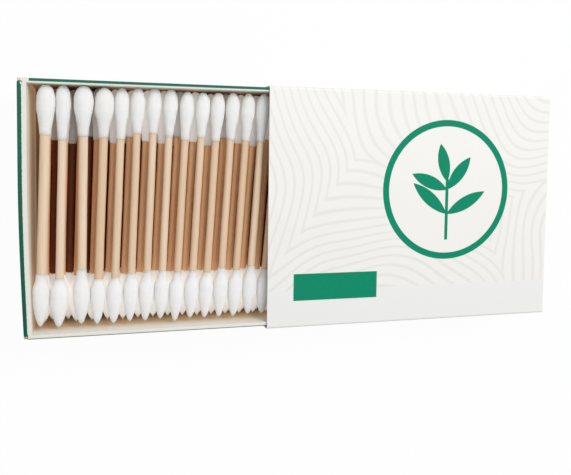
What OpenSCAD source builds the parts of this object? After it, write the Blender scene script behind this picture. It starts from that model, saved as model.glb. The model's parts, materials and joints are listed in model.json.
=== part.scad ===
// A slide box of bamboo cotton swabs: a card sleeve open at both ends, and a card tray that
// slides in it and stands pulled out to the left. The swabs lie across the tray in layers,
// round tips at the back (+Y) and pointed tips at the front (-Y).
// The origin is the centre of the sleeve's underside, +X is the way the tray closes, +Z is up.

/* [Card] */
// Thickness of the card
card = 0.4; // [0.3:0.05:0.5]
// Outer radius of a crease
crease_r = 0.8; // [0.7:0.05:1.2]
// Thickness of the ink skin
ink = 0.08; // [0.05:0.01:0.12]

/* [Sleeve] */
// Width of the glue flap inside the front wall
glue_flap_w = 12; // [6:1:20]
// Cut-back of the glue flap at each mouth
glue_flap_cut = 4; // [2:0.5:8]

/* [Tray] */
// Thickness of a rolled long wall, over both of its layers
side_wall = 1.3; // [1.2:0.1:2.4]
// Thickness of a rolled end wall, over both of its layers
end_wall = 2.3; // [1.8:0.1:3.5]
// Gap under the tucked inner layer of a wall
tuck_gap = 0.15; // [0.1:0.05:0.4]
// Length of the corner flap inside each end wall
corner_flap_l = 14; // [6:1:22]
// Chamfer at each corner of the rim
rim_chamfer = 1.2; // [0.8:0.1:1.6]
// Depth of that chamfer
rim_chamfer_h = 1.4; // [0.8:0.1:3]
// Width of the mitre slit at each corner of the rim
mitre_slit = 0.3; // [0.2:0.05:0.5]
// Width of the green edge on the rim
rim_ink = 0.8; // [0.5:0.05:1]
// Width of that edge on the front wall, where the print is out of register
front_rim_ink = 0.15; // [0.1:0.05:0.5]
// Distance from the corner at which the green edge of the back wall starts
bare_corner_l = 3; // [1.5:0.1:5]
// Depth of that bare place down the wall
bare_corner_h = 1; // [0.4:0.1:2]

/* [Slide] */
// Gap at each side of the tray
slide_gap = 0.15; // [0.12:0.01:0.5]
// Gap over the rim of the tray
top_gap = 0.4; // [0.2:0.05:1]
// How far each end of the closed tray lies inside the sleeve
end_gap = 0.3; // [0:0.1:2]
// How far the tray is pulled out
pulled_out = 76; // [40:1:98]

/* [Swabs] */
// Length of a swab
swab_l = 75; // [70:0.5:80]
// Diameter of a stick
stick_d = 2.45; // [2:0.05:2.8]
// Diameter of a round tip at its widest
head_d = 4.7; // [4.2:0.05:5.2]
// Length of cotton on a round tip
head_l = 16.2; // [14:0.1:18]
// Distance of a round tip's widest place from its end
head_widest = 5; // [4:0.1:6]
// Length of the thin wrap that ends a round tip on the stick
head_wrap_l = 1.4; // [0.5:0.1:3]
// Diameter of a pointed tip at its widest
point_d = 4.7; // [4.2:0.05:5.2]
// Length of cotton on a pointed tip
point_l = 17; // [15.5:0.1:18]
// Distance of a pointed tip's widest place from its end
point_widest = 10; // [8:0.1:11]
// Length of the thin wrap that ends a pointed tip on the stick
point_wrap_l = 1.9; // [0.5:0.1:3]
// Length of the rounding of its point
point_blunt = 0.25; // [0.1:0.05:0.6]
// Thickness of the thin wrap where cotton ends on the stick
wrap_t = 0.15; // [0.1:0.05:0.3]
// Glue gap between a stick and its cotton
glue_gap = 0.05; // [0.02:0.01:0.1]
// How far a stick's end stays from the end of a round tip
head_seat = 3; // [2.5:0.1:4]
// How far a stick's end stays from the end of a pointed tip
point_seat = 5; // [4.5:0.1:6]

/* [Packing] */
// Number of layers
layers = 6; // [3:1:6]
// Number of swabs in a full layer
per_row = 19; // [16:1:24]
// Number of swabs that lie open, each in nodes of its own
open_swabs = 14; // [8:1:14]
// Gap between neighbouring round tips
head_gap = 0.4; // [0.2:0.05:0.8]
// Gap between neighbouring pointed tips
point_gap = 0.17; // [0.12:0.01:0.8]
// Gap between the end wall and the first round tip of a lower row
head_start = 1.7; // [0.5:0.1:2.4]
// Gap between the end wall and the first pointed tip of a lower row
point_start = 0.4; // [0.3:0.1:2.4]
// Gap between a tip and those of the next layer
nest_gap = 0.12; // [0.05:0.01:0.3]
// Room left along a row
row_play = 4.3; // [3.8:0.1:8]
// Room left at the ends of a swab
swab_play = 0.9; // [0.4:0.1:2]
// Share of that room that is left in front of the pointed tips
front_share = 0.65; // [0.3:0.05:0.7]
// Room between the top layer and the rim
headroom = 2.7; // [2.4:0.1:6]

/* [Panel print] */
// Outer diameter of the ring
ring_d = 49; // [30:1:58]
// Width of the ring's line
ring_line = 2.2; // [1:0.1:4]
// Distance of the ring's centre from the middle of the panel, along the sleeve
ring_x = 12; // [-20:1:20]
// Distance of the ring's centre from the middle of the panel, across the sleeve
ring_y = 6; // [-6:1:10]
// Length of a leaf
leaf_l = 17; // [10:1:20]
// Width of a leaf
leaf_w = 4.4; // [3:0.2:6]
// Width of the stem of the sprig
stem_w = 1.1; // [0.8:0.1:2]
// Length of the solid bar
bar_l = 30; // [20:1:36]
// Width of the solid bar
bar_w = 9; // [5:1:12]
// Distance of the bar from the left and front edges of the panel
bar_inset = 9; // [5:1:12]

/* [Hidden] */
swab_names = [for (i = [1:open_swabs]) str("swab_", i < 10 ? "0" : "", i)];
layer_names = [for (i = [1:layers]) str("layer_", i)];

// Reach of a tool past the face that it cuts
over = 1;
// Gap between a corner flap and the outer layer that it lies against
flap_gap = 0.1;
// Outline steps of a tip's belly and of its neck, in the open row and deeper down
open_steps = [6, 5];
packed_steps = [3, 2];
// Facets that draw a small circle
small_fn = 48;

// The open row lies loose at its outer end. Each list starts at the first swab, in shares of the
// even size or gap, which the rest of the row has
loose_head_size = [1.22, 1, 1.27, 1.28];
loose_point_size = [1.08, 1.16, 1.08, 1, 1.06];
loose_stick_size = [1.28, 1.08, 1.15, 1.12, 1.04];
loose_head_gap = [3.5, 0.25, 0.75, 0.38, 0.25, 0.3];
loose_point_gap = [0.6, 0.6, 5, 0.6, 0.6, 0.6];

// Packing
head_pitch = head_d + head_gap;
point_pitch = point_d + point_gap;
tip_d = max(head_d, point_d);
head_step = sqrt(pow(head_d + nest_gap, 2) - pow(head_pitch / 2, 2));
point_step = sqrt(pow(point_d + nest_gap, 2) - pow(point_pitch / 2, 2));
layer_step = max(head_step, point_step);
stack_h = nest_gap + tip_d + (layers - 1) * layer_step;

// Tray
inner_l = per_row * head_pitch + row_play;
inner_w = swab_l + swab_play;
tray_l = inner_l + 2 * end_wall;
tray_w = inner_w + 2 * side_wall;
tray_h = card + stack_h + headroom;
tray_x = -pulled_out;
tray_z = card;
inner_x = tray_x - inner_l / 2;
tray_crease = crease_r - card / 2;

// Sleeve: the glue flap makes its front wall a layer thicker inside
sleeve_l = tray_l + 2 * end_gap;
sleeve_w = tray_w + 2 * slide_gap + 3 * card;
sleeve_h = tray_h + top_gap + 2 * card;
tray_y = card / 2;

// Swabs
swab_y = tray_y + (front_share - 0.5) * swab_play;
station_l = swab_l - head_widest - point_widest;
shift_reach = 0.8 * min(front_share, 1 - front_share) * swab_play;
shifts = rands(-shift_reach, shift_reach, layers * per_row, 11);

// Share in a list at a place, or 1 past its end
function share(list, i) = i < len(list) ? list[i] : 1;

// Sizes of the swabs of the open row
function open_head_d(i) = head_d * share(loose_head_size, i);
function open_point_d(i) = point_d * share(loose_point_size, i);
function open_stick_d(i) = stick_d * share(loose_stick_size, i);

// Places of the open row's tips along the tray, each one clear of the one before it
function open_head_x(i) =
    (i == 0 ? inner_x : open_head_x(i - 1) + open_head_d(i - 1) / 2)
    + head_gap * share(loose_head_gap, i) + open_head_d(i) / 2;
function open_point_x(i) =
    (i == 0 ? inner_x : open_point_x(i - 1) + open_point_d(i - 1) / 2)
    + point_gap * share(loose_point_gap, i) + open_point_d(i) / 2;

// Places of the tips of a packed layer: odd layers lie half a pitch further on
function half(layer) = (layer % 2) / 2;
function packed_count(layer) = per_row - layer % 2;
function packed_head_x(layer, i) = inner_x + head_start + head_d / 2 + (i + half(layer)) * head_pitch;
function packed_point_x(layer, i) = inner_x + point_start + point_d / 2 + (i + half(layer)) * point_pitch;
function layer_z(layer) = tray_z + card + nest_gap + tip_d / 2 + layer * layer_step;

// Height at which a tip rests on the tips of the layer below it
function rest_z(x, d, below_x, below_d) =
    let (reach = (d + below_d) / 2 + nest_gap)
    layer_z(layers - 2) + max([
        for (bx = below_x) let (dx = abs(x - bx)) dx < reach ? sqrt(reach * reach - dx * dx) : 0
    ]);
heads_below = [for (i = [0:packed_count(layers - 2) - 1]) packed_head_x(layers - 2, i)];
points_below = [for (i = [0:packed_count(layers - 2) - 1]) packed_point_x(layers - 2, i)];
function open_head(i) = [open_head_x(i), rest_z(open_head_x(i), open_head_d(i), heads_below, head_d)];
function open_point(i) = [open_point_x(i), rest_z(open_point_x(i), open_point_d(i), points_below, point_d)];

// Outline of a round tip, from its end to where the cotton stops: [radius, distance]
function head_outline(d, wrap_r, steps) = concat(
    [for (i = [0:steps[0]]) let (a = 90 * i / steps[0])
        [d / 2 * pow(sin(a), 0.9), head_widest * (1 - cos(a))]],
    [for (i = [1:steps[1]]) let (t = i / steps[1])
        [wrap_r + (d / 2 - wrap_r) * (1 + cos(180 * t)) / 2,
         head_widest + (head_l - head_wrap_l - head_widest) * t]],
    [[wrap_r, head_l]]
);

// Outline of a pointed tip: a blunt point, a cone with a slight belly and a round shoulder
function point_outline(d, wrap_r, steps) = concat(
    [[0, 0]],
    [for (i = [0:steps[0]]) let (t = i / steps[0])
        [d / 2 * (0.12 + 0.88 * pow(sin(90 * t), 0.8)), point_blunt + (point_widest - point_blunt) * t]],
    [for (i = [1:steps[1]]) let (t = i / steps[1])
        [wrap_r + (d / 2 - wrap_r) * (1 + cos(180 * t * t)) / 2,
         point_widest + (point_l - point_wrap_l - point_widest) * t]],
    [[wrap_r, point_l]]
);

// A rectangle with round corners, standing on the X axis
module soft_rect(w, h, r) {
    translate([-w / 2 + r, 0]) square([w - 2 * r, h]);
    translate([-w / 2, r]) square([w, h - 2 * r]);
    for (x = [-w / 2 + r, w / 2 - r], y = [r, h - r])
        translate([x, y]) circle(r, $fn = small_fn);
}

// Runs an upright section along X or Y
module along_x(l) {
    rotate([90, 0, 90]) linear_extrude(l, center = true) children();
}
module along_y(l) {
    rotate([90, 0, 0]) linear_extrude(l, center = true) children();
}

// The glue flap lies on the inside of the front wall, with its corners cut back
module glue_flap() {
    bottom_l = sleeve_l - glue_flap_cut;
    top_l = bottom_l - 2 * glue_flap_cut;
    translate([0, -sleeve_w / 2 + 2 * card, card])
        rotate([90, 0, 0])
            linear_extrude(card)
                polygon([
                    [-bottom_l / 2, 0], [bottom_l / 2, 0],
                    [top_l / 2, glue_flap_w], [-top_l / 2, glue_flap_w]
                ]);
}

// The sleeve is one card, folded at four creases and open at both ends
module sleeve() {
    color("whitesmoke") {
        difference() {
            along_x(sleeve_l) soft_rect(sleeve_w, sleeve_h, crease_r);
            translate([0, 0, card])
                along_x(sleeve_l + 2 * over)
                    soft_rect(sleeve_w - 2 * card, sleeve_h - 2 * card, crease_r - card);
        }
        glue_flap();
    }
}

// A leaf is what two equal circles share
module leaf(l, w) {
    r = (l * l / 4 + w * w / 4) / w;
    translate([0, l / 2]) intersection() {
        translate([r - w / 2, 0]) circle(r, $fn = 96);
        translate([w / 2 - r, 0]) circle(r, $fn = 96);
    }
}

// A sprig of bamboo: an upright stem with two leaves at each of its joints and one at its top
module sprig() {
    stem_l = ring_d * 0.44;
    low_joint = stem_l * 0.42;
    high_joint = stem_l * 0.82;
    translate([-stem_w / 2, 0]) square([stem_w, stem_l]);
    for (angle = [-62, 50]) translate([0, low_joint]) rotate(angle) leaf(leaf_l, leaf_w);
    for (angle = [-38, 68]) translate([0, high_joint]) rotate(angle) leaf(leaf_l * 0.86, leaf_w);
    translate([0, stem_l - leaf_w / 4]) rotate(12) leaf(leaf_l * 0.8, leaf_w);
}

// The print on the upper panel: a ring with a sprig in it, and a solid bar
module sleeve_print() {
    color("seagreen")
        translate([0, 0, sleeve_h]) linear_extrude(ink) {
            translate([ring_x, ring_y]) {
                difference() {
                    circle(d = ring_d, $fn = 128);
                    circle(d = ring_d - 2 * ring_line, $fn = 128);
                }
                translate([0, -ring_d * 0.36]) sprig();
            }
            translate([-sleeve_l / 2 + bar_inset, -sleeve_w / 2 + bar_inset])
                square([bar_l, bar_w]);
        }
}

// The tray's outer shape, grown by a skin at its sides and rim
module tray_block(skin = 0) {
    r = tray_crease + skin;
    intersection() {
        along_x(tray_l + 2 * skin) soft_rect(tray_w + 2 * skin, tray_h + skin, r);
        along_y(tray_w + 2 * skin) soft_rect(tray_l + 2 * skin, tray_h + skin, r);
    }
}

// The chamfer and the mitre slit at the rim's four corners
module rim_corner_cuts() {
    for (sx = [-1, 1], sy = [-1, 1])
        translate([sx * tray_l / 2, sy * tray_w / 2, tray_h - rim_chamfer_h]) {
            rotate(45)
                translate([-rim_chamfer * sqrt(0.5), -rim_chamfer * sqrt(0.5), 0])
                    cube([2 * rim_chamfer * sqrt(0.5), 2 * rim_chamfer * sqrt(0.5), rim_chamfer_h + over]);
            rotate(sx * sy * 45)
                translate([sx > 0 ? -side_wall * sqrt(2) : 0, -mitre_slit / 2, rim_chamfer_h - card - flap_gap])
                    cube([side_wall * sqrt(2), mitre_slit, card + over]);
        }
}

// Hollow of a rolled wall: its inner layer stops a little above the floor
module wall_hollow(length, thickness) {
    translate([-thickness / 2 + card, card]) square([thickness - 2 * card, tray_h - 2 * card]);
    translate([0, card]) square([thickness / 2 + over, tuck_gap]);
}

// A flap at each corner stands in the end wall's hollow, folded from the long wall
module corner_flaps() {
    room = end_wall - 2 * card;
    flap_t = min(card, room - 2 * flap_gap);
    for (sx = [-1, 1], sy = [-1, 1])
        translate([
            sx * (tray_l / 2 - card - flap_gap - flap_t / 2),
            sy * (tray_w / 2 - card / 2 - corner_flap_l / 2),
            tray_h / 2
        ])
            cube([flap_t, corner_flap_l, tray_h - 4 * card], center = true);
}

// The tray is one card: a floor, and four walls rolled over into two layers
module tray() {
    color("ivory")
        translate([tray_x, tray_y, tray_z]) {
            difference() {
                tray_block();
                translate([-inner_l / 2, -inner_w / 2, card]) cube([inner_l, inner_w, tray_h]);
                for (side = [0, 180])
                    rotate(side) {
                        translate([0, -tray_w / 2 + side_wall / 2, 0])
                            along_x(inner_l + 2 * (end_wall - card)) wall_hollow(inner_l, side_wall);
                        translate([-tray_l / 2 + end_wall / 2, 0, 0])
                            along_y(inner_w + 2 * (side_wall - card)) wall_hollow(inner_w, end_wall);
                    }
                rim_corner_cuts();
            }
            corner_flaps();
        }
}

// The two ends of the back wall's rim, where the ink stops short of the corner
module bare_corners() {
    for (side = [0, 1])
        mirror([side, 0, 0])
            translate([tray_l / 2 - bare_corner_l, tray_w / 2 - side_wall, tray_h - bare_corner_h])
                cube([bare_corner_l - rim_ink, side_wall + over, bare_corner_h + over]);
}

// Green ink covers the tray's outer faces and turns over the rim's outer edge
module tray_print() {
    low = tray_crease;
    high = tray_h + over;
    color("darkgreen")
        translate([tray_x, tray_y, tray_z])
            difference() {
                tray_block(ink);
                translate([0, 0, -over]) cube([2 * tray_l, 2 * tray_w, 2 * (low + over)], center = true);
                tray_block();
                translate([-tray_l / 2 + rim_ink, -tray_w / 2 + front_rim_ink, low])
                    cube([tray_l - 2 * rim_ink, tray_w - front_rim_ink - rim_ink, high]);
                rim_corner_cuts();
                bare_corners();
            }
}

// A tip is a turned form with a blind bore in which the stick's end sits
module tip(outline, bore_r, seat) {
    stop = outline[len(outline) - 1][1];
    rotate_extrude($fn = small_fn)
        polygon(concat(outline, [[bore_r, stop], [bore_r, seat], [0, seat]]));
}

module stick(d) {
    color("burlywood")
        translate([0, 0, point_seat]) cylinder(d = d, h = swab_l - point_seat - head_seat, $fn = small_fn);
}

module round_tip(d, stick_diameter, steps) {
    bore_r = stick_diameter / 2 + glue_gap;
    color("white")
        translate([0, 0, swab_l]) mirror([0, 0, 1])
            tip(head_outline(d, bore_r + wrap_t, steps), bore_r, head_seat);
}

module pointed_tip(d, stick_diameter, steps) {
    bore_r = stick_diameter / 2 + glue_gap;
    color("white")
        tip(point_outline(d, bore_r + wrap_t, steps), bore_r, point_seat);
}

// Lays what is drawn along Z so that its axis passes a point at each tip's widest place
module laid(point, head, shift) {
    dx = head[0] - point[0];
    dz = head[1] - point[1];
    turn = -atan2(dx, station_l);
    rise = asin(dz / norm([dx, station_l, dz]));
    translate([point[0], swab_y + shift - swab_l / 2 + point_widest, point[1]])
        rotate([rise - 90, 0, turn])
            translate([0, 0, -point_widest])
                children();
}

module open_swab(i) {
    laid(open_point(i), open_head(i), shifts[i]) children();
}

module packed_swab(layer, i) {
    laid(
        [packed_point_x(layer, i), layer_z(layer)],
        [packed_head_x(layer, i), layer_z(layer)],
        shifts[per_row * (layer + 1) + i]
    ) children();
}

// The swabs of one layer that have no nodes of their own: all of a lower layer, and the part
// of the top layer that the sleeve covers
module packed_layer(layer) {
    if (layer < layers - 1)
        for (i = [0:packed_count(layer) - 1]) packed_swab(layer, i) children();
    else
        for (i = [open_swabs:per_row - 1]) open_swab(i) children();
}

sleeve();
sleeve_print();
tray();
tray_print();
for (i = [0:open_swabs - 1]) {
    open_swab(i) stick(open_stick_d(i));
    open_swab(i) round_tip(open_head_d(i), open_stick_d(i), open_steps);
    open_swab(i) pointed_tip(open_point_d(i), open_stick_d(i), open_steps);
}
for (layer = [0:layers - 1]) packed_layer(layer) stick(stick_d);  // packed_sticks
for (layer = [0:layers - 1]) {
    packed_layer(layer) round_tip(head_d, stick_d, packed_steps);
    packed_layer(layer) pointed_tip(point_d, stick_d, packed_steps);
}
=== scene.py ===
# %% [markdown]
# # A slide box of cotton swabs
# The object is a flat carton made like a matchbox: a printed card sleeve, and a card tray pulled
# out of it that shows a row of bamboo swabs. Each swab has a round cotton tip at the back and a
# pointed one at the front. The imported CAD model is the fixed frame. It already holds the sleeve,
# the tray and the printed shapes at their true sizes, so those get their finishes here, and only
# the tray's rim is bent a little. Sticks and cotton are modelled again, because wound cotton and
# split bamboo are never perfectly turned.

# %% Load the frame
import json
import math
import random

import bpy
from mathutils import Matrix, Vector

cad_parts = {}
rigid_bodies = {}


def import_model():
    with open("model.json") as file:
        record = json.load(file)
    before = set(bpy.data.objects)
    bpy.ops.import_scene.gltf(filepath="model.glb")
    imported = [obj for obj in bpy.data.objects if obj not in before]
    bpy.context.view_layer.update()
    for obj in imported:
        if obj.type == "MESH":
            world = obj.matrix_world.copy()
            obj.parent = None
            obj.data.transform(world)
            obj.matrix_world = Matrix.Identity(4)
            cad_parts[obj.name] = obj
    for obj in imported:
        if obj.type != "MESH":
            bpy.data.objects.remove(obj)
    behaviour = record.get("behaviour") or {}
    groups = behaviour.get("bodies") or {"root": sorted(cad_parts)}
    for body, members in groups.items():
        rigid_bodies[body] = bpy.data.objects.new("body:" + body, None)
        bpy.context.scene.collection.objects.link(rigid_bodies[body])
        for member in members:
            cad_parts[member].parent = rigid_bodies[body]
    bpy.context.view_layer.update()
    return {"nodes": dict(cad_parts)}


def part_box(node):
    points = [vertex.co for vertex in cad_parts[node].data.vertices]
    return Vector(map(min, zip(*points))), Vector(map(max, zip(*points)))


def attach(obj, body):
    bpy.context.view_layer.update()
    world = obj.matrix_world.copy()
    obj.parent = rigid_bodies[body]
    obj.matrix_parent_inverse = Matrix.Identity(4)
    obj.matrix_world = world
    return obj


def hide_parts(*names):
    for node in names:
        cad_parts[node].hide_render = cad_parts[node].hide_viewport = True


MM = 0.001
bpy.ops.object.select_all(action="SELECT")
bpy.ops.object.delete()
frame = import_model()
nodes = frame["nodes"]
dice = random.Random(41)

# %% [markdown]
# ## Camera
# The photograph looks down on the box from above its tray, turned a little towards the sleeve. A
# camera is easiest to place by its own three turns: yaw swings it left or right over the box,
# pitch tips it towards the front, and roll levels the picture. The values come from matching the
# corners of the sleeve and of the tray. The photograph holds more white below the box than above
# it, and a small lens shift gives that framing without tilting the view.

# %% Camera
PHOTO_WIDTH_PX = 571
FOCAL_PX = 720
SENSOR_MM = 36
CAMERA_PLACE = Vector((-115.6, 19.4, 256.4)) * MM
YAW, PITCH, ROLL = (math.radians(a) for a in (16.75, 3.62, -0.79))
LENS_SHIFT = -0.0744


def add_camera():
    data = bpy.data.cameras.new("camera")
    data.sensor_width = SENSOR_MM
    data.lens = SENSOR_MM * FOCAL_PX / PHOTO_WIDTH_PX
    data.shift_y = LENS_SHIFT
    camera = bpy.data.objects.new("camera", data)
    bpy.context.collection.objects.link(camera)
    turns = ((ROLL, "Z"), (PITCH, "X"), (YAW, "Y"))
    roll, pitch, yaw = (Matrix.Rotation(angle, 3, axis) for angle, axis in turns)
    world_to_camera = roll @ pitch @ yaw
    camera.matrix_world = Matrix.Translation(CAMERA_PLACE) @ world_to_camera.transposed().to_4x4()
    bpy.context.scene.camera = camera
    return camera


camera = add_camera()
print("camera: lens %.1f mm" % camera.data.lens)

# %% [markdown]
# ## Shader maths
# A finish is a small net of nodes. Wiring it by hand takes many lines, so two helpers come first.
# A `Signal` wraps one output socket and lets plain operators build the Math nodes, and a `Finish`
# has one method that adds any other node from its type, its settings and its inputs.

# %% Signals and finishes


class Signal:
    """An output socket on which sums can be written."""

    def __init__(self, finish, socket):
        self.finish = finish
        self.socket = socket

    def maths(self, operation, *others):
        inputs = dict(enumerate((self, *others)))
        return self.finish.node("ShaderNodeMath", {"operation": operation}, inputs)

    def flipped(self, operation, other):
        return self.finish.node("ShaderNodeMath", {"operation": operation}, {0: other, 1: self})

    def __add__(self, other):
        return self.maths("ADD", other)

    def __radd__(self, other):
        return self.flipped("ADD", other)

    def __sub__(self, other):
        return self.maths("SUBTRACT", other)

    def __rsub__(self, other):
        return self.flipped("SUBTRACT", other)

    def __mul__(self, other):
        return self.maths("MULTIPLY", other)

    def __rmul__(self, other):
        return self.flipped("MULTIPLY", other)

    def __truediv__(self, other):
        return self.maths("DIVIDE", other)


class Finish:
    """A material that is built up node by node."""

    def __init__(self, name):
        self.material = bpy.data.materials.new(name)
        self.material.use_nodes = True
        self.tree = self.material.node_tree
        self.tree.nodes.clear()

    def node(self, kind, settings=None, inputs=None, output=0):
        made = self.tree.nodes.new(kind)
        for name, value in (settings or {}).items():
            setattr(made, name, value)
        for name, value in (inputs or {}).items():
            if isinstance(value, Signal):
                self.tree.links.new(value.socket, made.inputs[name])
            else:
                made.inputs[name].default_value = value
        return Signal(self, made.outputs[output])

    def place(self, scale=(1, 1, 1)):
        """Object coordinates, stretched by a scale for each axis."""
        here = self.node("ShaderNodeTexCoord", output="Object")
        return self.node("ShaderNodeMapping", inputs={"Vector": here, "Scale": scale})

    def noise(self, at, scale, detail=2.0, roughness=0.5):
        settings = {"Vector": at, "Scale": scale, "Detail": detail, "Roughness": roughness}
        return self.node("ShaderNodeTexNoise", inputs=settings)

    def axes(self, at):
        """The three numbers of a vector."""
        split = self.node("ShaderNodeSeparateXYZ", inputs={"Vector": at})
        outputs = split.socket.node.outputs
        return [Signal(self, outputs[i]) for i in range(3)]

    def step(self, value, low, high):
        """0 below low and 1 above high, with a soft change between them."""
        inputs = {"Value": value, "From Min": low, "From Max": high}
        return self.node("ShaderNodeMapRange", {"interpolation_type": "SMOOTHSTEP"}, inputs)

    def mix(self, share, first, second):
        """A colour between two colours; sockets 6 and 7 and output 2 are the node's colour ones."""
        inputs = {0: share, 6: first, 7: second}
        return self.node("ShaderNodeMix", {"data_type": "RGBA"}, inputs, output=2)

    def bump(self, height, depth, strength=1.0):
        """A normal from a height that runs from 0 to 1, where 1 stands depth metres proud."""
        inputs = {"Height": height, "Distance": depth, "Strength": strength}
        return self.node("ShaderNodeBump", inputs=inputs)

    def surface(self, inputs):
        shader = self.node("ShaderNodeBsdfPrincipled", inputs=inputs)
        end = self.tree.nodes.new("ShaderNodeOutputMaterial")
        self.tree.links.new(shader.socket, end.inputs["Surface"])
        return self.material


def shown(red, green, blue):
    """The linear colour that a screen shows as these values from 0 to 255."""
    parts = [v / 255 for v in (red, green, blue)]
    return (*[v / 12.92 if v <= 0.04045 else ((v + 0.055) / 1.055) ** 2.4 for v in parts], 1.0)


FINISHES = {}
NO_GLOW = (0, 0, 0, 1)
print("a screen's grey 188 is %.2f in linear light" % shown(188, 188, 188)[0])

# %% [markdown]
# ## Light
# The photograph is a bright product shot, with one soft light from behind the sleeve on the right
# and light from all around. The sky lights the box evenly and is pure white only where it is
# seen, straight or in a gloss. The lamp puts a light edge on the right of each stick and a shadow
# on its left, and leaves the back wall's inside in shade.

# %% Light
SKY_STRENGTH = 0.48
LAMP_PLACE = Vector((130, 290, 620)) * MM
LAMP_AIM = Vector((-40, 0, 20)) * MM
LAMP_SIZE = 300 * MM
LAMP_POWER = 2.68


def seen(tree):
    """1 for a ray that shows the surroundings, and 0 for one that only gathers light."""
    path = tree.nodes.new("ShaderNodeLightPath")
    either = path.outputs["Is Camera Ray"]
    for kind in ("Is Glossy Ray", "Is Transmission Ray"):
        larger = tree.nodes.new("ShaderNodeMath")
        larger.operation = "MAXIMUM"
        tree.links.new(either, larger.inputs[0])
        tree.links.new(path.outputs[kind], larger.inputs[1])
        either = larger.outputs[0]
    return either


def add_sky():
    world = bpy.data.worlds.new("studio")
    world.use_nodes = True
    bpy.context.scene.world = world
    tree = world.node_tree
    background = tree.nodes["Background"]
    background.inputs["Color"].default_value = (1, 1, 1, 1)
    strength = tree.nodes.new("ShaderNodeMapRange")
    strength.inputs["To Min"].default_value = SKY_STRENGTH
    strength.inputs["To Max"].default_value = 1.0
    tree.links.new(seen(tree), strength.inputs["Value"])
    tree.links.new(strength.outputs["Result"], background.inputs["Strength"])


def add_lamp():
    data = bpy.data.lights.new("soft_light", "AREA")
    data.size = LAMP_SIZE
    data.energy = LAMP_POWER
    lamp = bpy.data.objects.new("soft_light", data)
    bpy.context.collection.objects.link(lamp)
    lamp.location = LAMP_PLACE
    lamp.rotation_euler = (LAMP_AIM - LAMP_PLACE).to_track_quat("-Z", "Y").to_euler()


bpy.context.scene.view_settings.view_transform = "Standard"
add_sky()
add_lamp()
print("lamp: %.2f W from %.0f mm away" % (LAMP_POWER, (LAMP_PLACE - LAMP_AIM).length / MM))

# %% [markdown]
# ## Floor
# The box lies on white paper. Light strong enough to make paper pure white would bleach the box,
# so the paper mostly glows where it is seen. The small rest of it is lit like any surface, and
# that is enough to take the box's faint shadow.

# %% Floor
FLOOR_SIZE = 4
FLOOR_GLOW = 0.96
PAPER_WHITE = (0.9, 0.9, 0.9, 1)


def floor_finish():
    paper = Finish("white_ground")
    lit = paper.node("ShaderNodeBsdfDiffuse", inputs={"Color": PAPER_WHITE})
    glow = paper.node("ShaderNodeEmission", inputs={"Strength": 1.0})
    share = Signal(paper, seen(paper.tree)) * FLOOR_GLOW
    both = paper.node("ShaderNodeMixShader", inputs={0: share, 1: lit, 2: glow})
    end = paper.tree.nodes.new("ShaderNodeOutputMaterial")
    paper.tree.links.new(both.socket, end.inputs["Surface"])
    return paper.material


bpy.ops.mesh.primitive_plane_add(size=FLOOR_SIZE)
floor = bpy.context.active_object
floor.name = "floor"
floor.data.materials.append(floor_finish())
print("floor:", FLOOR_SIZE, "m wide")

# %% [markdown]
# ## Printed card
# The sleeve is white board with a pale grey pattern of flowing lines, like the grain of a plank.
# Such lines are the rings round a few far points, warped by a slow noise. Where the rings of two
# points meet, they make the seams that give the pattern its life. Measuring in all three
# directions lets the lines run on over the folds. A strip along the front and the inside of the
# ring stay plain, the inside of the sleeve is unprinted, and the cut ends show the board's grey
# core.

# %% Printed card
RING_CENTRE = Vector((12, 6)) * MM
RING_RADIUS = 24 * MM
PLAIN_STRIP = 12.5 * MM
PRINT_EDGE = 0.1 * MM
PRINT_SKIN = 0.3 * MM
CUT_SKIN = 0.04 * MM
GRAIN_POINTS_MM = [(-118, 6), (58, 74), (-8, -78), (104, -30)]
GRAIN_HEIGHT = 30 * MM
GRAIN_WARP = 34 * MM
GRAIN_SPACING = 3.3 * MM
GRAIN_LINE = 0.04, 0.24
CARD_WHITE = shown(245, 244, 240)
CARD_CLOUD = shown(241, 240, 236)
CARD_STRIP = shown(240, 240, 239)
CARD_LINE = shown(234, 233, 229)
CARD_INSIDE = shown(226, 224, 217)
CARD_CORE = shown(214, 209, 199)


def paper_fibre(finish):
    """Height of the fine tooth of board."""
    at = finish.place()
    return finish.noise(at, 2600, 4.0, 0.7) * 0.6 + finish.noise(at, 420, 2.0) * 0.4


def how_far(finish, at, point):
    """How far each place lies from a point."""
    settings = {"operation": "DISTANCE"}
    return finish.node("ShaderNodeVectorMath", settings, {0: at, 1: point}, output="Value")


def grain_lines(finish, at):
    """1 on a line of the grain pattern and 0 between lines."""
    warp = (finish.noise(at, 17, 1.0) - 0.5) * GRAIN_WARP
    nearest = None
    for x, y in GRAIN_POINTS_MM:
        away = how_far(finish, at, (x * MM, y * MM, GRAIN_HEIGHT))
        nearest = away if nearest is None else nearest.maths("MINIMUM", away)
    turns = (nearest + warp) / GRAIN_SPACING
    saw = turns.maths("FRACT") - 0.5
    return 1 - finish.step(saw.maths("ABSOLUTE"), *GRAIN_LINE)


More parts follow.
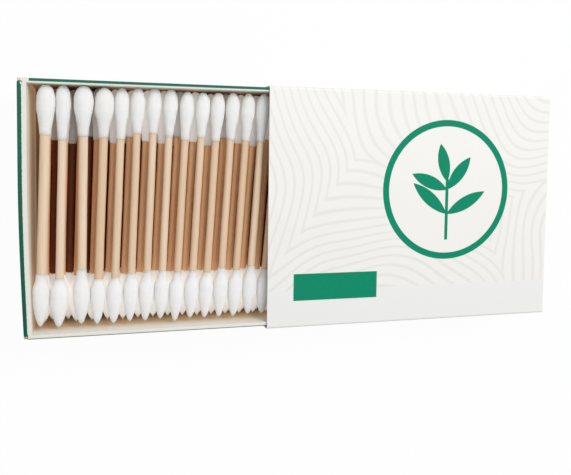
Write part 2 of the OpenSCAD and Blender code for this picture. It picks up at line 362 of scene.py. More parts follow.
def printed_card():
    card = Finish("printed_card")
    low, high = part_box("sleeve")
    at = card.place()
    x, y, z = card.axes(at)
    from_ring = how_far(card, at, (RING_CENTRE.x, RING_CENTRE.y, high.z))
    outside_ring = card.step(from_ring, RING_RADIUS - PRINT_EDGE, RING_RADIUS)
    beyond_strip = card.step(y, low.y + PLAIN_STRIP - PRINT_EDGE, low.y + PLAIN_STRIP)
    lines = grain_lines(card, at) * outside_ring * beyond_strip
    beside, below, above = high.y - PRINT_SKIN, low.z + PRINT_SKIN, high.z - PRINT_SKIN
    inside = (
        card.step(z, below - 0.5 * PRINT_EDGE, below)
        - card.step(z, above, above + 0.5 * PRINT_EDGE)
        - card.step(y.maths("ABSOLUTE"), beside, beside + 0.5 * PRINT_EDGE)
    )
    cut_end = card.step(x.maths("ABSOLUTE"), high.x - CUT_SKIN, high.x - 0.5 * CUT_SKIN)
    cloud = card.noise(at, 30, 2.0)
    white = card.mix(cloud, CARD_WHITE, CARD_CLOUD)
    ground = card.mix(beyond_strip, CARD_STRIP, white)
    print_side = card.mix(lines, ground, CARD_LINE)
    board = card.mix(inside, print_side, CARD_INSIDE)
    colour = card.mix(cut_end, board, CARD_CORE)
    return card.surface(
        {
            "Base Color": colour,
            "Roughness": 0.42 + card.noise(at, 300) * 0.12,
            "Normal": card.bump(paper_fibre(card), 0.02 * MM, 0.35),
        }
    )


FINISHES["printed_card"] = printed_card()
print("printed card: lines about", round(GRAIN_SPACING / MM, 1), "mm apart")

# %% [markdown]
# ## Plain card
# The tray is folded from the same board. It is warmer and more matte than the sleeve, and its
# long fibres show as faint streaks. Deep inside, its walls are painted a darker tan: painted shade,
# warmed as if by the light that bounces off the sticks. The end wall there also gets a faint glow,
# which is painted bounced light. The print doesn't stop quite at the fold: on the outer end's rim
# the green creeps over the crease. The rim is bent later on, so the card reads its place from
# before that, in an attribute called own_place.

# %% Plain card
TRAY_WHITE = shown(243, 241, 234)
TRAY_STREAK = shown(234, 230, 220)
TRAY_SPECK = shown(206, 198, 182)
# Painted shade: deep inside the tray the card is drawn this darker, warmer tan.
TRAY_PAINTED_SHADE = shown(206, 176, 138)
PAINTED_SHADE_FROM, PAINTED_SHADE_FULL = 2 * MM, 11 * MM
END_WALL = 2.6 * MM
# Painted light: the end wall's inside glows faintly deep down, in place of light bounced off the
# sticks.
PAINTED_BOUNCE_GLOW = 0.16
PAINTED_BOUNCE_TINT = (1, 0.72, 0.48, 1)
EDGE_GREEN = shown(18, 92, 70)
CREEP = 1.1 * MM
CREEP_RAGGED = 0.25 * MM
RIM_BAND = 0.3 * MM
BARE_CORNER = 0.9 * MM
UNDERSIDE = 0.2 * MM
SOFT_EDGE = 0.1 * MM
STREAK_SCALE = (60, 700, 700)


def own(finish, name, output="Vector"):
    """A value that a piece carries on its own points: a Vector or, as Fac, a number."""
    return finish.node("ShaderNodeAttribute", {"attribute_name": name}, output=output)


def plain_card():
    card = Finish("plain_card")
    low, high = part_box("tray")
    at = own(card, "own_place")
    x, y, z = card.axes(at)
    streaks = card.noise(card.place(STREAK_SCALE), 1.0, 3.0, 0.6)
    specks = card.noise(at, 900, 3.0, 0.6)
    streaked = card.mix(streaks, TRAY_WHITE, TRAY_STREAK)
    flecked = card.mix(card.step(specks, 0.62, 0.8) * 0.35, streaked, TRAY_SPECK)
    above_floor = card.step(z, low.z + UNDERSIDE, low.z + 2 * UNDERSIDE)
    # Painted shade: it grows from 2 mm below the rim to full at 11 mm, and is kept off the
    # underside.
    deep = above_floor - card.step(z, high.z - PAINTED_SHADE_FULL, high.z - PAINTED_SHADE_FROM)
    shade_painted = card.mix(deep, flecked, TRAY_PAINTED_SHADE)
    end_wall = 1 - card.step(x, low.x + END_WALL, low.x + END_WALL + 2 * SOFT_EDGE)
    ragged = (card.noise(at, 1800, 3.0, 0.6) - 0.5) * CREEP_RAGGED
    blend = 0.4 * SOFT_EDGE
    printed = 1 - card.step(x - low.x - ragged, CREEP - blend, CREEP + blend)
    top = card.step(z, high.z - RIM_BAND - SOFT_EDGE, high.z - RIM_BAND)
    bare_from = high.y - BARE_CORNER
    bare = card.step(y + x - low.x, bare_from, bare_from + SOFT_EDGE)
    return card.surface(
        {
            "Base Color": card.mix(printed * top * (1 - bare), shade_painted, EDGE_GREEN),
            "Roughness": 0.78 + specks * 0.12,
            # Painted light: a faint warm glow on the deep part of the end wall.
            "Emission Color": card.mix(deep * end_wall, NO_GLOW, PAINTED_BOUNCE_TINT),
            "Emission Strength": PAINTED_BOUNCE_GLOW,
            "Normal": card.bump(paper_fibre(card), 0.03 * MM, 0.5),
        }
    )


FINISHES["plain_card"] = plain_card()
print("plain card: green creeps", round(CREEP / MM, 1), "mm over the end's crease")

# %% [markdown]
# ## Green ink
# Offset ink sinks into board: it is even from a step away, with a faint mottle close up, and a
# little glossier than the card. The sleeve's green is bright. The tray's is deeper, and it is
# painted a little paler towards its back wall, whose rim faces the lamp: painted light.

# %% Green ink
PANEL_GREEN = shown(0, 144, 107)
# Painted light: the back rim's green is drawn paler, as it looks where it faces the lamp.
PAINTED_LIT_BACK_GREEN = shown(34, 112, 90)
INK_DEEP = shown(0, 60, 44)
INK_RUBBED = shown(150, 190, 172)


def green_ink(name, front, back, worn):
    """Ink that changes from its front to its back tone over the tray's width; a paler back tone is
    painted light.
    """
    ink = Finish(name)
    at = ink.place()
    low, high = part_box("tray")
    to_back = ink.step(ink.axes(at)[1], low.y, high.y)
    mottle = ink.noise(at, 700, 3.0, 0.6)
    tone = ink.mix(to_back, front, back)
    patchy = ink.mix(mottle * 0.2, tone, INK_DEEP)
    rubbed = ink.step(ink.noise(at, 1500, 3.0, 0.7), 0.66, 0.74) * worn
    return ink.surface(
        {
            "Base Color": ink.mix(rubbed, patchy, INK_RUBBED),
            "Roughness": 0.5 + mottle * 0.14,
            "Specular IOR Level": 0.15,
            "Normal": ink.bump(paper_fibre(ink), 0.02 * MM, 0.3),
        }
    )


FINISHES["green_ink"] = green_ink("green_ink", PANEL_GREEN, PANEL_GREEN, 0.25)
FINISHES["edge_ink"] = green_ink("edge_ink", EDGE_GREEN, PAINTED_LIT_BACK_GREEN, 0.5)
print("green ink: one for the panel and one for the tray")

# %% [markdown]
# ## Bamboo
# The sticks are split bamboo, rolled smooth: pale tan, with fine fibres that run the whole length
# and a tone that differs from stick to stick. The grain has to follow each stick and not the
# room, so each stick carries its own place from before it was laid down, in an attribute called
# own_place, and its tone in one called own_tone. Below the open row the wood is painted warmer
# and darker, and below the middle of the second layer a deep red brown: both are painted shade,
# warmed as if by light bounced between the sticks.

# %% Bamboo
# Each wood is its light tone, its deep tone and its fibres.
TOP_WOOD = shown(240, 218, 192), shown(228, 196, 162), shown(200, 152, 110)
# Painted shade: the wood below the open row, warmer and darker than the open row's.
PAINTED_SHADE_WOOD = shown(250, 200, 150), shown(240, 182, 132), shown(206, 132, 86)
# Painted shadow: deep red brown wood below the second layer's middle.
PAINTED_SHADOW_WOOD = shown(120, 58, 26)
BETWEEN_ROWS = 22 * MM
SECOND_ROW_MIDDLE = 18.3 * MM
ROW_BLEND = 0.5 * MM
BAND_SCALE = (900, 24, 900)
FIBRE_SCALE = (5200, 60, 5200)


def stretched(finish, vector, scale):
    return finish.node("ShaderNodeMapping", inputs={"Vector": vector, "Scale": scale})


def bamboo():
    wood = Finish("bamboo")
    place = own(wood, "own_place")
    tone = own(wood, "own_tone", "Fac")
    bands = wood.noise(stretched(wood, place, BAND_SCALE), 1.0, 3.0, 0.6)
    fibres = wood.noise(stretched(wood, place, FIBRE_SCALE), 1.0, 2.0, 0.6)
    height = wood.axes(wood.place())[2]
    open_row = wood.step(height, BETWEEN_ROWS - ROW_BLEND, BETWEEN_ROWS + ROW_BLEND)
    # Below the open row the three tones are the painted shade ones.
    tones = zip(PAINTED_SHADE_WOOD, TOP_WOOD)
    light, deep, fibre = (wood.mix(open_row, below, top) for below, top in tones)
    body = wood.mix(wood.step(bands * 0.6 + tone * 0.5, 0.25, 0.85), light, deep)
    grain = wood.mix(wood.step(fibres, 0.56, 0.74) * 0.45, body, fibre)
    # Painted shadow: below the second layer's middle the wood turns deep red brown.
    in_light = wood.step(height, SECOND_ROW_MIDDLE - 0.7 * MM, SECOND_ROW_MIDDLE + 0.6 * MM)
    colour = wood.mix(in_light, PAINTED_SHADOW_WOOD, grain)
    return wood.surface(
        {
            "Base Color": colour,
            "Roughness": 0.55 + fibres * 0.2,
            "Normal": wood.bump(fibres, 0.06 * MM, 0.6),
        }
    )


FINISHES["bamboo"] = bamboo()
print("bamboo: the second row's wood ends at", round(SECOND_ROW_MIDDLE / MM, 1), "mm")

# %% [markdown]
# ## Cotton
# Wound cotton is matt and nearly white. Its fibres wrap round the tip in a shallow spiral and
# leave a soft, uneven skin. Only in the last millimetre, where it ends on the stick, is the layer
# so thin that the wood shines through, and its edge is ragged. The attribute own_edge tells how
# far a point lies from that edge, and a noise frays it. No two tips are quite the same white.
# The cotton of the lower layers, seen in the gaps, gets a faint painted glow: painted light for
# the light that passes through cotton. The glow is weaker on duller tips.

# %% Cotton
COTTON_WHITE = shown(253, 253, 251)
COTTON_SHADE = shown(246, 245, 242)
COTTON_DULL = shown(243, 242, 237)
COTTON_THIN = shown(238, 222, 202)
EDGE_FADE = 0.12 * MM
EDGE_FRAY = 0.8 * MM
EDGE_THIN = 1.3 * MM
HOLLOW_FROM, HOLLOW_TO = 13 * MM, 24.5 * MM
HOLLOW_BLEND = 2.5 * MM
# Painted light: the lower cotton glows faintly, in place of light through the cotton in the gaps.
PAINTED_GLOW_STRENGTH = 0.22
PAINTED_GLOW_TINT = (1, 0.95, 0.9, 1)
WRAP_SCALE = (300, 1500, 300)
STRAND_SCALE = (1500, 350, 1500)


def cotton():
    wool = Finish("cotton")
    place = own(wool, "own_place")
    edge = own(wool, "own_edge", "Fac")
    wraps = wool.noise(stretched(wool, place, WRAP_SCALE), 1.0, 3.0, 0.65)
    fluff = wool.noise(place, 2400, 4.0, 0.7)
    wound = wool.mix(wraps, COTTON_SHADE, COTTON_WHITE)
    tone = own(wool, "own_tone", "Fac")
    body = wool.mix(tone * 0.6, wound, COTTON_DULL)
    strands = wool.noise(stretched(wool, place, STRAND_SCALE), 1.0, 3.0, 0.6)
    frayed = edge - strands * EDGE_FRAY
    colour = wool.mix(wool.step(frayed, 0, EDGE_THIN), COTTON_THIN, body)
    height = wool.axes(wool.place())[2]
    above = wool.step(height, HOLLOW_FROM, HOLLOW_FROM + HOLLOW_BLEND)
    painted_glow_band = above - wool.step(height, HOLLOW_TO - HOLLOW_BLEND, HOLLOW_TO)
    return wool.surface(
        {
            "Base Color": colour,
            "Alpha": wool.step(frayed, 0, EDGE_FADE),
            "Subsurface Weight": 1.0,
            "Subsurface Radius": (1, 0.97, 0.93),
            "Subsurface Scale": 4 * MM,
            # Painted light: a glow on the lower cotton, weaker on duller tips.
            "Emission Color": wool.mix(painted_glow_band * (1 - tone * 2), NO_GLOW, PAINTED_GLOW_TINT),
            "Emission Strength": PAINTED_GLOW_STRENGTH,
            "Roughness": 0.95,
            "Sheen Weight": 0.25,
            "Sheen Roughness": 0.6,
            "Specular IOR Level": 0.2,
            "Normal": wool.bump(wraps * 0.6 + fluff * 0.4, 0.14 * MM, 0.6),
        }
    )


FINISHES["cotton"] = cotton()
print("cotton: frayed over", round(EDGE_FRAY / MM, 1), "mm at its edge")

# %% [markdown]
# ## Dressing the sleeve
# The sleeve and its print keep the frame's own meshes, which have true folds and sharp print.
# They only get their finishes. All other pieces are made in the cells below.

# %% Dressing the sleeve
DRESSED = {"sleeve": "printed_card", "sleeve_print": "green_ink"}
for name, finish in DRESSED.items():
    for slot in nodes[name].material_slots:
        slot.material = FINISHES[finish]
print("finishes:", ", ".join(FINISHES))

# %% [markdown]
# ## Copies that stand in for a node
# A node's mesh is loose triangles, so a piece that is to be reshaped starts as a copy whose
# doubles are merged. Notes on its points, called attributes, tell the finishes where each point
# was before the piece was bent or laid down.

# %% Copies that stand in for a node


def select_only(piece):
    bpy.ops.object.select_all(action="DESELECT")
    piece.select_set(True)
    bpy.context.view_layer.objects.active = piece


def merged_copy(node, name):
    piece = bpy.data.objects.new(name, nodes[node].data.copy())
    piece.data.name = name
    bpy.context.collection.objects.link(piece)
    select_only(piece)
    bpy.ops.mesh.customdata_custom_splitnormals_clear()
    bpy.ops.object.mode_set(mode="EDIT")
    bpy.ops.mesh.select_all(action="SELECT")
    bpy.ops.mesh.remove_doubles(threshold=0.001 * MM)
    bpy.ops.object.mode_set(mode="OBJECT")
    return piece


def note(piece, name, kind, values):
    attribute = piece.data.attributes.new(name, kind, "POINT")
    field = "vector" if kind == "FLOAT_VECTOR" else "value"
    attribute.data.foreach_set(field, values)


def hand_over(piece, name, finish, slot, *stands_for):
    """Names a finished piece and lets it ride on the tray in place of its CAD nodes."""
    piece.name = name
    piece.data.name = name
    piece.data.materials.clear()
    piece.data.materials.append(FINISHES[finish])
    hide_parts(*stands_for)
    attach(piece, "tray")


# %% [markdown]
# ## The bowed tray
# The tray's outer end is a tall wall held only by its folds, and the swabs press on it, so its
# rim bulges outwards by more than a millimetre. A plain box has no points in its walls to bend,
# so the merged copy gets edge loops by bisecting it along its length, width and height. Then its
# points move out: most at the rim, fading towards the floor, the front corner and along the long
# walls. The ink's copy is cut and moved alike, so it stays on its wall.

# %% The bowed tray
BOW = 1.42 * MM
BOW_FULL_FROM = 0.65
BOW_FADE = 1.5
BOW_RISE = 3
BOW_REACH = 14 * MM
BOW_LOOPS = (7, 14, 8)
FOLD_ANGLE = math.radians(30)


def looped(piece, low, high):
    """Cuts edge loops into a piece between two corners, a number for each axis."""
    select_only(piece)
    bpy.ops.object.mode_set(mode="EDIT")
    for axis, count in enumerate(BOW_LOOPS):
        normal = Vector(1 if i == axis else 0 for i in range(3))
        for i in range(1, count + 1):
            bpy.ops.mesh.select_all(action="SELECT")
            bpy.ops.mesh.bisect(plane_co=low.lerp(high, i / (count + 1)), plane_no=normal)
    bpy.ops.object.mode_set(mode="OBJECT")


def bowed(piece, low, high):
    """Notes each point's place and moves the outer end's points out."""
    places = [value for v in piece.data.vertices for value in v.co]
    note(piece, "own_place", "FLOAT_VECTOR", places)
    for vertex in piece.data.vertices:
        along, across, up = ((vertex.co[i] - low[i]) / (high[i] - low[i]) for i in range(3))
        bulge = math.sin(math.pi / 2 * min(1, max(0, across) / BOW_FULL_FROM))
        fade = max(0, 1 - max(0, along)) ** BOW_FADE
        vertex.co.x -= BOW * bulge * max(0, up) ** BOW_RISE * fade
    bpy.ops.object.shade_smooth_by_angle(angle=FOLD_ANGLE)


tray_low, tray_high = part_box("tray")
bow_high = Vector((tray_low.x + BOW_REACH, tray_high.y, tray_high.z))
for node, name, finish, slot in (
    ("tray", "bowed_tray", "plain_card", "plain_card"),
    ("tray_print", "bowed_tray_ink", "edge_ink", "green_ink"),
):
    piece = merged_copy(node, name)
    looped(piece, tray_low, bow_high)
    bowed(piece, tray_low, bow_high)
    hand_over(piece, name, finish, slot, node)
    print(name, len(piece.data.polygons), "faces")


# %% [markdown]
# ## A swab's line
# The frame holds every stick as a plain cylinder, and its two end circles give the stick's line,
# thickness and length. A small class keeps them together with the names of the nodes that hold
# the swab's two tips. The tone makes each swab's wood and cotton a little different.

# %% A swab's line


def centre(points):
    low = Vector(min(p[i] for p in points) for i in range(3))
    high = Vector(max(p[i] for p in points) for i in range(3))
    return (low + high) / 2


class Swab:
    """One swab's line, from its pointed end to its round end, and its sizes."""

    def __init__(self, corners, round_node, point_node):
        middle = sum(c.y for c in corners) / len(corners)
        ends = [[c for c in corners if (c.y > middle) == back] for back in (False, True)]
        front, back = (centre(points) for points in ends)
        self.direction = (back - front).normalized()
        self.stick_r = max((c - front).cross(self.direction).length for c in ends[0])
        self.stick_l = (back - front).length
        self.stick_from = front
        self.round_node = round_node
        self.point_node = point_node
        self.tone = dice.random()

    def nudge(self, front, back):
        """Moves the two ends along X, each by its own distance."""
        far = self.stick_from + self.direction * self.stick_l + Vector((back, 0, 0))
        self.stick_from = self.stick_from + Vector((front, 0, 0))
        self.direction = (far - self.stick_from).normalized()

    def lie(self):
        """The matrix that lays a form drawn along Y on the swab's line, from its front end."""
        turn = self.direction.to_track_quat("Y", "Z").to_matrix().to_4x4()
        return Matrix.Translation(self.stick_from) @ turn


# %% [markdown]
# ## Where the swabs lie
# The sticks under the open row share one node, so a copy of it is merged and parted into its
# loose cylinders. Each one belongs to the layer whose height it has. Loose swabs settle where
# they like, so each open one is nudged sideways at its two ends by a few tenths of a millimetre,
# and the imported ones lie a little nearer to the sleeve. The cotton reaches a little past each end
# of its stick.

# %% Where the swabs lie
FRONT_NUDGES_MM = [-0.15, -0.1, 0.4, 0.45, 0.6, 0.7, 0.7, 0.7, 0.55, 0.7, 0.6, 0.55, 0.6, 0.7]
BACK_NUDGES_MM = [0.1, -0.25, 0.2, 0.25, 0.1, 0.25, 0.25, 0.25, 0.4, 0.5, 0.3, 0.1, 0.2, 0.3]
PACKED_NUDGE_MM = 0.7


def node_width(name, axis):
    low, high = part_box(name)
    return high[axis] - low[axis]


def loose_parts(name):
    """The corners of each separate solid of a node, from a merged copy that is then removed."""
    merged_copy(name, "parting")
    bpy.ops.object.mode_set(mode="EDIT")
    bpy.ops.mesh.separate(type="LOOSE")
    bpy.ops.object.mode_set(mode="OBJECT")
    parts = list(bpy.context.selected_objects)
    corners = [[v.co.copy() for v in part.data.vertices] for part in parts]
    bpy.ops.object.delete()
    return corners


OPEN = sorted(n.removesuffix("_stick") for n in nodes if n.endswith("_stick"))
LAYERS = sorted(n.removesuffix("_round_tips") for n in nodes if n.endswith("_round_tips"))
layer_heights = {
    layer: sum(corner.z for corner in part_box(layer + "_round_tips")) / 2 for layer in LAYERS
}


def layer_of(corners):
    height = sum(c.z for c in corners) / len(corners)
    return min(LAYERS, key=lambda layer: abs(layer_heights[layer] - height))


open_swabs = []
for name in OPEN:
    corners = [v.co.copy() for v in nodes[name + "_stick"].data.vertices]
    open_swabs.append(Swab(corners, name + "_round_tip", name + "_pointed_tip"))
packed_swabs = []
for corners in loose_parts("packed_sticks"):
    layer = layer_of(corners)
    packed_swabs.append(Swab(corners, layer + "_round_tips", layer + "_pointed_tips"))
packed_swabs.sort(key=lambda swab: (swab.round_node, swab.stick_from.x))
for swab, front, back in zip(open_swabs, FRONT_NUDGES_MM, BACK_NUDGES_MM):
    swab.nudge(front * MM, back * MM)
for swab in packed_swabs:
    swab.nudge(PACKED_NUDGE_MM * MM, PACKED_NUDGE_MM * MM)

ROUND_PAST = max(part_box(n + "_round_tip")[1].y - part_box(n + "_stick")[1].y for n in OPEN)
POINT_PAST = max(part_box(n + "_stick")[0].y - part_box(n + "_pointed_tip")[0].y for n in OPEN)
ROUND_LENGTH = min(node_width(n + "_round_tip", 1) for n in OPEN)
POINT_LENGTH = min(node_width(n + "_pointed_tip", 1) for n in OPEN)
print("swabs:", len(open_swabs), "open and", len(packed_swabs), "packed")
print("cotton past the stick: %.2f and %.2f mm" % (ROUND_PAST / MM, POINT_PAST / MM))

# %% [markdown]
# ## Turned forms
# A stick and a tip are both a ring that travels along a line and changes its size. So each one
# starts as a filled circle that is extruded from station to station and resized at each. Small
# random changes of size and centre keep the form from looking machined. The far end closes in a
# point.

# %% Turned forms
LUMP_SIZE = 2.4 * MM
SEED_APART = 0.1
SMOOTH_ANGLE = math.radians(60)


def turned(name, stations, sides, wobble, close):
    """Extrudes a filled circle through [distance, radius] stations along Y."""
    start, radius = stations[0]
    bpy.ops.object.select_all(action="DESELECT")
    bpy.ops.mesh.primitive_circle_add(
        vertices=sides,
        radius=radius,
        fill_type="NGON",
        location=(0, start, 0),
        rotation=(-math.pi / 2, 0, 0),
    )
    piece = bpy.context.active_object
    piece.name = name
    bpy.ops.object.transform_apply()
    bpy.ops.object.mode_set(mode="EDIT")
    bpy.ops.mesh.select_all(action="SELECT")
    spin = dice.uniform(0, math.tau)
    size = radius
    for distance, wanted in stations[1:]:
        spin += dice.uniform(0.6, 1.6)
        drift = wobble * wanted
        move = (math.cos(spin) * drift, distance - start, math.sin(spin) * drift)
        bpy.ops.mesh.extrude_region_move(TRANSFORM_OT_translate={"value": move})
        ratio = wanted * (1 + wobble * dice.uniform(-1, 1)) / size
        size *= ratio
        bpy.ops.transform.resize(value=(ratio, 1, ratio), center_override=(0, distance, 0))
        start = distance
    if close:
        bpy.ops.mesh.merge(type="CENTER")
    bpy.ops.object.mode_set(mode="OBJECT")
    bpy.ops.object.shade_smooth_by_angle(angle=SMOOTH_ANGLE)
    return piece


def roughened(piece, depth, seed):
    """Pushes the skin in and out by a slow noise, different for each seed."""
    texture = bpy.data.textures.new(piece.name + "_lumps", "CLOUDS")
    texture.noise_scale = LUMP_SIZE
    texture.noise_depth = 1
    piece.location.x = seed * SEED_APART
    lumps = piece.modifiers.new("lumps", "DISPLACE")
    lumps.texture = texture
    lumps.texture_coords = "GLOBAL"
    lumps.strength = depth
    lumps.mid_level = 0.5
    bpy.context.view_layer.update()
    select_only(piece)
    bpy.ops.object.modifier_apply(modifier=lumps.name)
    piece.location.x = 0


# %% [markdown]
# ## Sticks
# A bamboo stick isn't quite straight or round, so its stations drift by a fiftieth of its radius.

# %% Sticks
STICK_STATIONS = 12
STICK_WOBBLE = 0.018


def stick(name, radius, length, sides):
    stations = [(length * i / STICK_STATIONS, radius) for i in range(STICK_STATIONS + 1)]
    return turned(name, stations, sides, STICK_WOBBLE, close=False)


print("stick: %.2f mm thick" % (2 * packed_swabs[0].stick_r / MM))

# %% [markdown]
# ## Round tips
# The round tip is a teardrop. From the neck, where a thin wrap of cotton ends on the stick, it
# swells slowly to its widest place and closes in a half ball. Its stations follow a cosine on the
# neck side and a quarter circle on the end, which are the outlines of the solid in the frame. A
# machine winds the cotton, but it never ends at quite the same place.

# %% Round tips
ROUND_WIDEST = 5 * MM
ROUND_WRAP = 1.4 * MM
COVER = 0.2 * MM
COTTON_WOBBLE = 0.012


def spread(share):
    """A factor near 1, different for each swab."""
    return 1 + dice.uniform(-share, share)


def neck(neck_end, wrap, widest, radius, stick_r, steps, shoulder):
    """Stations from the cotton's edge to its widest place; a higher shoulder makes it fuller."""
    wrap_r = stick_r + COVER
    stations = [
        (-neck_end - wrap, stick_r + 0.1 * COVER),
        (-neck_end - 0.6 * wrap, stick_r + 0.3 * COVER),
    ]
    for i in range(steps + 1):
        left = 1 - i / steps
        swell = (1 + math.cos(math.pi * left**shoulder)) / 2
        stations.append((-widest - (neck_end - widest) * left, wrap_r + (radius - wrap_r) * swell))
    return stations


def round_tip(name, radius, stick_r, sides, steps):
    """Drawn with its far end at zero and its neck at negative distances."""
    neck_end = (ROUND_LENGTH - ROUND_WRAP) * spread(0.08)
    wrap = ROUND_WRAP * spread(0.5)
    stations = neck(neck_end, wrap, ROUND_WIDEST * spread(0.06), radius, stick_r, steps, 1)
    for i in range(1, steps + 1):
        angle = math.pi / 2 * (1 - i / (steps + 0.6))
        bulge = math.sin(angle) ** 0.9
        stations.append((-ROUND_WIDEST * (1 - math.cos(angle)), radius * bulge))
    return turned(name, stations, sides, COTTON_WOBBLE, close=True)


print("round tip: %.1f mm long" % (ROUND_LENGTH / MM))

# %% [markdown]
# ## Pointed tips
# The pointed tip is wound the same way, but it has its widest place nearer to the neck, with a
# round shoulder there, and is drawn out to a blunt point like a brush. The tips lie side by side
# and press against each other, so they fill a little more than their solids. The form is drawn in
# the same direction as a round tip and turned round when it is laid on its swab.

# %% Pointed tips
POINT_WIDEST = 10 * MM
POINT_WRAP = 1.9 * MM
POINT_BLUNT = 0.25 * MM
POINT_END = 0.04
POINT_TAPER = 0.8
CROWDING = 1.025


def pointed_tip(name, radius, stick_r, sides, steps):
    radius *= CROWDING
    neck_end = (POINT_LENGTH - POINT_WRAP) * spread(0.05)
    wrap = POINT_WRAP * spread(0.5)
    stations = neck(neck_end, wrap, POINT_WIDEST * spread(0.04), radius, stick_r, steps, 2)
    for i in range(1, steps + 1):
        share = 1 - i / (steps + 0.4)
        belly = POINT_END + (1 - POINT_END) * math.sin(math.pi / 2 * share) ** POINT_TAPER
        stations.append((-POINT_BLUNT - (POINT_WIDEST - POINT_BLUNT) * share, radius * belly))
    return turned(name, stations, sides, COTTON_WOBBLE, close=True)


print("pointed tip: %.1f mm long" % (POINT_LENGTH / MM))

# %% [markdown]
# ## Marking and laying the forms
# Before a form is laid on its swab, its points note where they are, how far they lie from the
# cotton's edge and the tone of the swab. The notes travel with the mesh, so the finishes follow
# each swab. The pointed tips are painted whiter than the round ones and glow more: painted light
# for the brighter front of the tray.

# %% Marking and laying
# Painted light: pointed tips take a tenth of the swab's dull tone, so they are drawn whiter and
# glow more.
PAINTED_LIGHT_POINT_DULL = 0.1


def mark(piece, swab, dull=1):
    """Notes each point's own place, its distance from the neck's edge and the swab's tone."""
    points = [v.co.copy() for v in piece.data.vertices]
    start = Vector(dice.uniform(0, 9) for _ in range(3))
    edge = min(p.y for p in points)
    note(piece, "own_place", "FLOAT_VECTOR", [value for p in points for value in p + start])
    note(piece, "own_edge", "FLOAT", [p.y - edge for p in points])
    # A low dull paints a tip whiter and lets it glow more: painted light.
    note(piece, "own_tone", "FLOAT", [swab.tone * dull] * len(points))


def lay(piece, swab, distance, reverse=False):
    """Lays a form on a swab's line, its zero at a distance from the stick's front end."""
    turn = Matrix.Rotation(math.pi, 4, "Z") if reverse else Matrix.Identity(4)
    piece.data.transform(swab.lie() @ Matrix.Translation((0, distance, 0)) @ turn)


# %% [markdown]
# ## The open row
# Fourteen swabs lie open in the tray, and each is modelled on its own: they were wound one by
# one, and the four at the outer end are plainly thicker than the rest. Their cotton also reaches
# a little more or less far past the ends of the sticks, so the tips don't stand in a straight
# row. The two lists give how far each round tip lies towards the front and each pointed tip
# towards the back.

# %% The open row
OPEN_STICK_SIDES = 18
OPEN_SIDES = 32
OPEN_STEPS = 11
OPEN_ROUND_LUMPS = 0.32 * MM
OPEN_POINT_LUMPS = 0.28 * MM
ROUND_SLIPS_MM = [-0.4, -0.3, -0.45, 0.3, -0.35, -0.45, -0.3, -0.1, 0, 0.5, 0.3, 0.1, 0.2, 0.1]
POINT_SLIPS_MM = [0.4, -0.3, 0.5, -0.3, 0.2, 0.5, 0, 0.4, -0.2, 0.1, 0, 0.1, -0.1, 0.5]


def build_open(swab, name, number):
    stem = stick(name + "_wood", swab.stick_r, swab.stick_l, OPEN_STICK_SIDES)
    mark(stem, swab)
    lay(stem, swab, 0)
    hand_over(stem, name + "_wood", "bamboo", "bamboo", name + "_stick")
    head_r = node_width(swab.round_node, 2) / 2
    head = round_tip(name + "_round_cotton", head_r, swab.stick_r, OPEN_SIDES, OPEN_STEPS)
    roughened(head, OPEN_ROUND_LUMPS, number)
    mark(head, swab)
    lay(head, swab, swab.stick_l + ROUND_PAST - ROUND_SLIPS_MM[number] * MM)
    hand_over(head, name + "_round_cotton", "cotton", "cotton", swab.round_node)
    point_r = node_width(swab.point_node, 0) / 2
    point = pointed_tip(name + "_pointed_cotton", point_r, swab.stick_r, OPEN_SIDES, OPEN_STEPS)
    roughened(point, OPEN_POINT_LUMPS, number + 0.5)
    mark(point, swab, PAINTED_LIGHT_POINT_DULL)
    lay(point, swab, POINT_SLIPS_MM[number] * MM - POINT_PAST, reverse=True)
    hand_over(point, name + "_pointed_cotton", "cotton", "cotton", swab.point_node)


for number, (swab, name) in enumerate(zip(open_swabs, OPEN)):
    build_open(swab, name, number)
print("open row:", len(open_swabs), "swabs")

# %% [markdown]
# ## Forms to copy
# The swabs below are seen only through gaps. Modelling each of them would take long and show
# nothing, so three of each form are made, with fewer faces than those of the open row.

# %% Forms to copy
PACKED_STICK_SIDES = 10
PACKED_SIDES = 14
PACKED_STEPS = 6
PACKED_ROUND_LUMPS = 0.25 * MM
PACKED_POINT_LUMPS = 0.22 * MM
VARIANTS = 3


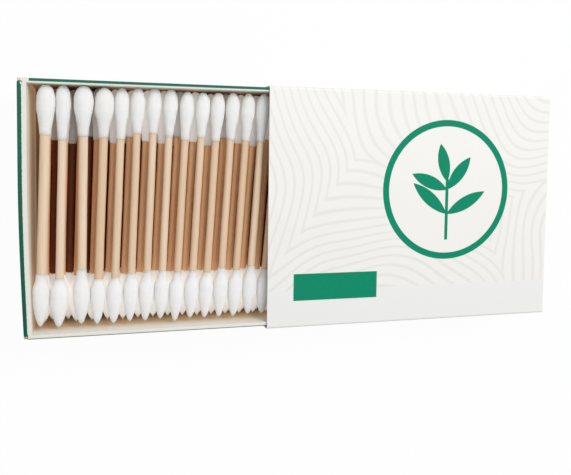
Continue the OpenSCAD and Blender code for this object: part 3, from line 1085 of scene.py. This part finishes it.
def packed_forms():
    swab = packed_swabs[0]
    head_r = node_width(swab.round_node, 2) / 2
    point_r = node_width(swab.point_node, 2) / 2
    forms = {"stick": [], "round": [], "point": []}
    for i in range(VARIANTS):
        stem = stick("form_stick", swab.stick_r, swab.stick_l, PACKED_STICK_SIDES)
        forms["stick"].append(stem)
        head = round_tip("form_round", head_r, swab.stick_r, PACKED_SIDES, PACKED_STEPS)
        roughened(head, PACKED_ROUND_LUMPS, 40 + i)
        forms["round"].append(head)
        point = pointed_tip("form_point", point_r, swab.stick_r, PACKED_SIDES, PACKED_STEPS)
        roughened(point, PACKED_POINT_LUMPS, 50 + i)
        forms["point"].append(point)
    return forms


forms = packed_forms()
print("forms:", ", ".join(f"{len(kind)} of {name}" for name, kind in forms.items()))

# %% [markdown]
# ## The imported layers
# Each packed swab is three copies, one of each form, laid on its own line. A copy has its own
# mesh, because its points carry the notes of its own swab. The copies of one layer are joined
# into one piece, which stands for that layer's node.

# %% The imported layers


def copy_of(form, name):
    piece = bpy.data.objects.new(name, form.data.copy())
    bpy.context.collection.objects.link(piece)
    return piece


def joined(pieces):
    bpy.ops.object.select_all(action="DESELECT")
    for piece in pieces:
        piece.select_set(True)
    bpy.context.view_layer.objects.active = pieces[0]
    bpy.ops.object.join()
    return pieces[0]


groups = {}
for number, swab in enumerate(packed_swabs):
    variant = number % VARIANTS
    stem = copy_of(forms["stick"][variant], "stem")
    mark(stem, swab)
    lay(stem, swab, 0)
    groups.setdefault("packed_sticks", []).append(stem)
    head = copy_of(forms["round"][variant], "head")
    mark(head, swab)
    lay(head, swab, swab.stick_l + ROUND_PAST)
    groups.setdefault(swab.round_node, []).append(head)
    point = copy_of(forms["point"][variant], "point")
    mark(point, swab, PAINTED_LIGHT_POINT_DULL)
    lay(point, swab, -POINT_PAST, reverse=True)
    groups.setdefault(swab.point_node, []).append(point)
for node, pieces in groups.items():
    if node == "packed_sticks":
        hand_over(joined(pieces), "packed_wood", "bamboo", "bamboo", node)
    else:
        hand_over(joined(pieces), node + "_soft", "cotton", "cotton", node)
for kind in forms.values():
    for form in kind:
        bpy.data.objects.remove(form)
print("packed:", ", ".join(f"{node} {len(pieces)}" for node, pieces in groups.items()))
